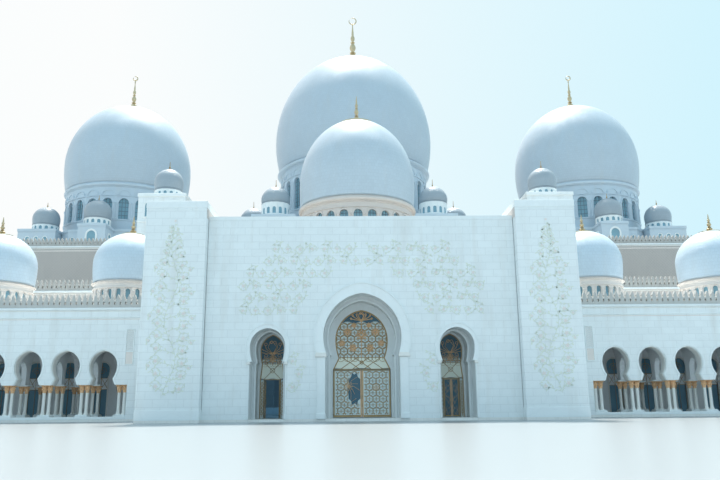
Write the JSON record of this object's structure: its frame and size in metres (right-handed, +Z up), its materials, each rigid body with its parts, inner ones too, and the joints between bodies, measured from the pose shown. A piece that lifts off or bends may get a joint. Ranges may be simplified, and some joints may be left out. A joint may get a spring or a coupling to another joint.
{
  "type": "domed mosque building, 1:10 scale model",
  "caption": "Marble mosque front with a tall portal, horseshoe arcades, a prayer hall, great domes with gilt finials and hinged portal doors.",
  "frame": {"origin": "on the ground, under the middle of the building's box", "axes": "+X to the right seen from the front, +Y from the portal to the back, +Z up"},
  "size_m": [13.5, 11.69, 8.566],
  "materials": {
    "white_marble": "polished white marble in square slabs",
    "pale_stone": "smooth pale stone and render",
    "rosy_stone": "pale rosy stone with carved bands",
    "floor_stone": "polished pale paving slab",
    "column_marble": "white column shafts with gilded capitals",
    "gilded": "gilded metal",
    "gilt_screen": "dark glass behind a gilded lattice"
  },
  "bodies": {
    "building": {"floor_slab": "floor_stone", "portal_wall_centre": "white_marble", "screen_centre": "gilt_screen", "portal_wall_left": "white_marble", "screen_left": "gilt_screen", "portal_wall_right": "white_marble", "screen_right": "gilt_screen", "pylon_left": "white_marble", "vestibule_wall_left": "white_marble", "arcade_wall_left": "white_marble", "arcade_columns_left": "column_marble", "inner_arcade_left": "pale_stone", "aisle_wall_left": "rosy_stone", "wing_end_wall_left": "white_marble", "arcade_roof_left": "pale_stone", "aisle_roof_left": "pale_stone", "inner_arcade_dome_left": "white_marble", "outer_arcade_dome_left": "white_marble", "turret_left": "white_marble", "hall_wall_left": "rosy_stone", "side_podium_left": "white_marble", "pylon_right": "white_marble", "vestibule_wall_right": "white_marble", "arcade_wall_right": "white_marble", "arcade_columns_right": "column_marble", "inner_arcade_right": "pale_stone", "aisle_wall_right": "rosy_stone", "wing_end_wall_right": "white_marble", "arcade_roof_right": "pale_stone", "aisle_roof_right": "pale_stone", "inner_arcade_dome_right": "white_marble", "outer_arcade_dome_right": "white_marble", "turret_right": "white_marble", "hall_wall_right": "rosy_stone", "side_podium_right": "white_marble", "vestibule_roof": "pale_stone", "front_drum": "rosy_stone", "front_dome": "white_marble", "front_finial": "gilded", "hall_front_wall": "rosy_stone", "hall_back_wall": "rosy_stone", "hall_roof": "pale_stone", "main_podium": "white_marble", "main_drum": "pale_stone", "main_dome": "white_marble", "main_finial": "gilded", "left_drum": "pale_stone", "left_dome": "white_marble", "left_finial": "gilded", "right_drum": "pale_stone", "right_dome": "white_marble", "right_finial": "gilded"},
    "centre_door_leaf_left": {"centre_door_leaf_left": "gilt_screen"},
    "centre_door_leaf_right": {"centre_door_leaf_right": "gilt_screen"},
    "left_door_leaf_left": {"left_door_leaf_left": "gilt_screen"},
    "left_door_leaf_right": {"left_door_leaf_right": "gilt_screen"},
    "right_door_leaf_left": {"right_door_leaf_left": "gilt_screen"},
    "right_door_leaf_right": {"right_door_leaf_right": "gilt_screen"}
  },
  "joints": [
    {"name": "centre_door_leaf_left_hinge", "type": "hinge", "parent": "building", "child": "centre_door_leaf_left", "pos_m": [-0.278, -5.251, 0.2], "axis": [0, 0, 1], "range_deg": [0, 90]},
    {"name": "centre_door_leaf_right_hinge", "type": "hinge", "parent": "building", "child": "centre_door_leaf_right", "pos_m": [0.278, -5.251, 0.2], "axis": [0, 0, -1], "range_deg": [0, 90]},
    {"name": "left_door_leaf_left_hinge", "type": "hinge", "parent": "building", "child": "left_door_leaf_left", "pos_m": [-0.953, -5.251, 0.2], "axis": [0, 0, 1], "range_deg": [-90, 0]},
    {"name": "left_door_leaf_right_hinge", "type": "hinge", "parent": "building", "child": "left_door_leaf_right", "pos_m": [-0.811, -5.251, 0.2], "axis": [0, 0, -1], "range_deg": [-90, 0]},
    {"name": "right_door_leaf_left_hinge", "type": "hinge", "parent": "building", "child": "right_door_leaf_left", "pos_m": [0.811, -5.251, 0.2], "axis": [0, 0, 1], "range_deg": [0, 90]},
    {"name": "right_door_leaf_right_hinge", "type": "hinge", "parent": "building", "child": "right_door_leaf_right", "pos_m": [0.953, -5.251, 0.2], "axis": [0, 0, -1], "range_deg": [0, 90]}
  ]
}
